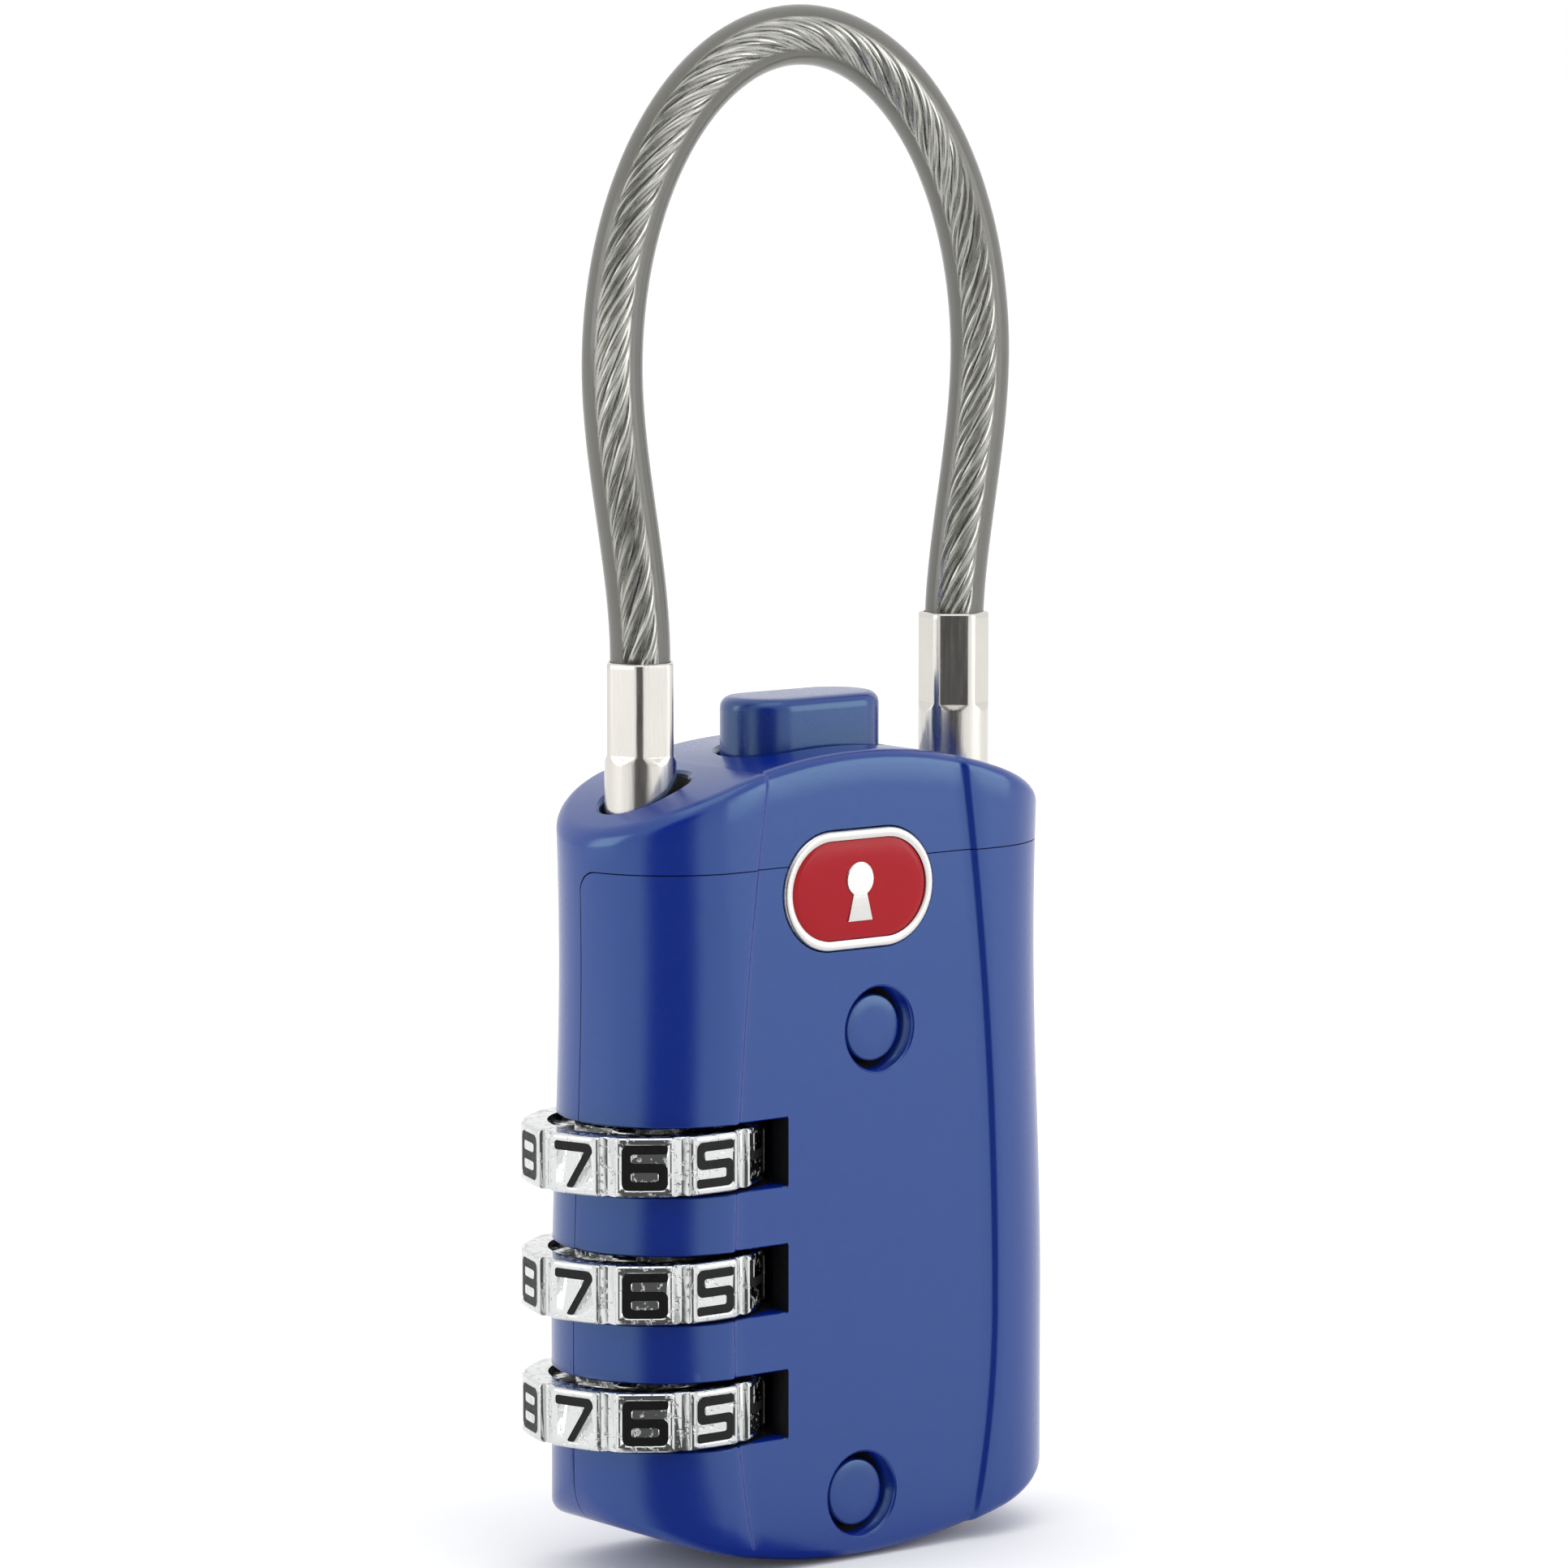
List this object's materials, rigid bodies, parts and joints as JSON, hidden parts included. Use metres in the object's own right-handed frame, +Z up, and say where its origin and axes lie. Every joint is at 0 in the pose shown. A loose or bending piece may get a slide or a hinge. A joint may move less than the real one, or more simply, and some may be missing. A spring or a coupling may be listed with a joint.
{
  "type": "cable padlock",
  "caption": "Small luggage padlock with turning number dials, a push button on top and a flexible wire-rope shackle in a clear sheath.",
  "frame": {"origin": "underside of the shackle's crown, midway between the legs, the point that the lock hangs from", "axes": "+Z up the height, +X across the width towards the fixed end of the shackle, front face towards -Y"},
  "size_m": [0.0333, 0.0132, 0.0854],
  "materials": {
    "painted_zinc": "satin blue paint over die-cast zinc",
    "button_paint": "satin blue paint",
    "dial_chrome": "polished plate",
    "ferrule_nickel": "bright nickel plate",
    "badge_metal": "satin",
    "badge_enamel": "glossy enamel",
    "sleeve_brass": "turned",
    "spring_steel": "bright wire and strip",
    "bolt_steel": "stamped and plated",
    "rope_steel": "twisted bright wire",
    "clear_sheath": "smoke-grey clear PVC",
    "plug_brass": "turned"
  },
  "bodies": {
    "housing": {"rear_housing": "painted_zinc", "front_cover": "painted_zinc", "rivets": "painted_zinc", "badge_plate": "badge_metal", "badge_enamel": "badge_enamel", "spindle_spring": "spring_steel", "detent_spring": "spring_steel", "fence_bar": "bolt_steel", "button_spring": "spring_steel", "latch_spring": "spring_steel", "fixed_ferrule": "ferrule_nickel", "retaining_clip": "bolt_steel", "cable_core": "rope_steel", "cable_sheath": "clear_sheath"},
    "spindle_body": {"spindle": "bolt_steel"},
    "free_end": {"free_ferrule": "ferrule_nickel"},
    "button": {"push_button": "button_paint"},
    "latch": {"latch_bolt": "bolt_steel"},
    "plug": {"key_plug": "plug_brass", "wafers": "bolt_steel", "plug_cam": "bolt_steel"},
    "override": {"override_slide": "bolt_steel"},
    "upper_dial_body": {"upper_dial": "dial_chrome"},
    "upper_sleeve_body": {"upper_sleeve": "sleeve_brass"},
    "middle_dial_body": {"middle_dial": "dial_chrome"},
    "middle_sleeve_body": {"middle_sleeve": "sleeve_brass"},
    "lower_dial_body": {"lower_dial": "dial_chrome"},
    "lower_sleeve_body": {"lower_sleeve": "sleeve_brass"}
  },
  "joints": [
    {"name": "upper_dial_turn", "type": "hinge", "parent": "housing", "child": "upper_dial_body", "pos_m": [-0.0109, 0, -0.05895], "axis": [0, 0, 1], "continuous": true, "deforming": ["detent_spring"]},
    {"name": "middle_dial_turn", "type": "hinge", "parent": "housing", "child": "middle_dial_body", "pos_m": [-0.0109, 0, -0.06595], "axis": [0, 0, 1], "continuous": true},
    {"name": "lower_dial_turn", "type": "hinge", "parent": "housing", "child": "lower_dial_body", "pos_m": [-0.0109, 0, -0.07295], "axis": [0, 0, 1], "continuous": true},
    {"name": "reset_press", "type": "slide", "parent": "housing", "child": "spindle_body", "axis": [0, 0, -1], "range_m": [0, 0.0012], "stiffness_N_per_m": 400, "springref_m": -0.001, "deforming": ["spindle_spring"]},
    {"name": "upper_sleeve_shift", "type": "slide", "parent": "upper_dial_body", "child": "upper_sleeve_body", "axis": [0, 0, -1], "range_m": [0, 0.0012]},
    {"name": "middle_sleeve_shift", "type": "slide", "parent": "middle_dial_body", "child": "middle_sleeve_body", "axis": [0, 0, -1], "range_m": [0, 0.0012]},
    {"name": "lower_sleeve_shift", "type": "slide", "parent": "lower_dial_body", "child": "lower_sleeve_body", "axis": [0, 0, -1], "range_m": [0, 0.0012]},
    {"name": "shackle_release", "type": "slide", "parent": "housing", "child": "free_end", "axis": [0, 0, 1], "range_m": [0, 0.01], "deforming": ["cable_sheath", "cable_core"]},
    {"name": "button_press", "type": "slide", "parent": "housing", "child": "button", "axis": [0, 0, -1], "range_m": [0, 0.002], "stiffness_N_per_m": 250, "springref_m": -0.001, "deforming": ["button_spring"]},
    {"name": "latch_draw", "type": "slide", "parent": "housing", "child": "latch", "axis": [1, 0, 0], "range_m": [0, 0.003], "stiffness_N_per_m": 150, "springref_m": -0.001, "deforming": ["latch_spring"]},
    {"name": "key_turn", "type": "hinge", "parent": "housing", "child": "plug", "pos_m": [0.008, 0, -0.07415], "axis": [0, 0, -1], "range_deg": [0, 90]},
    {"name": "override_shift", "type": "slide", "parent": "housing", "child": "override", "axis": [1, 0, 0], "range_m": [0, 0.00226]}
  ],
  "couplings": [
    {"joint": "upper_sleeve_shift", "follows": "reset_press", "ratio": 1},
    {"joint": "middle_sleeve_shift", "follows": "reset_press", "ratio": 1},
    {"joint": "lower_sleeve_shift", "follows": "reset_press", "ratio": 1},
    {"joint": "button_press", "follows": "shackle_release", "ratio": 0.2},
    {"joint": "latch_draw", "follows": "shackle_release", "ratio": 0.3},
    {"joint": "key_turn", "follows": "override_shift", "rad_per_m": 694.4}
  ]
}
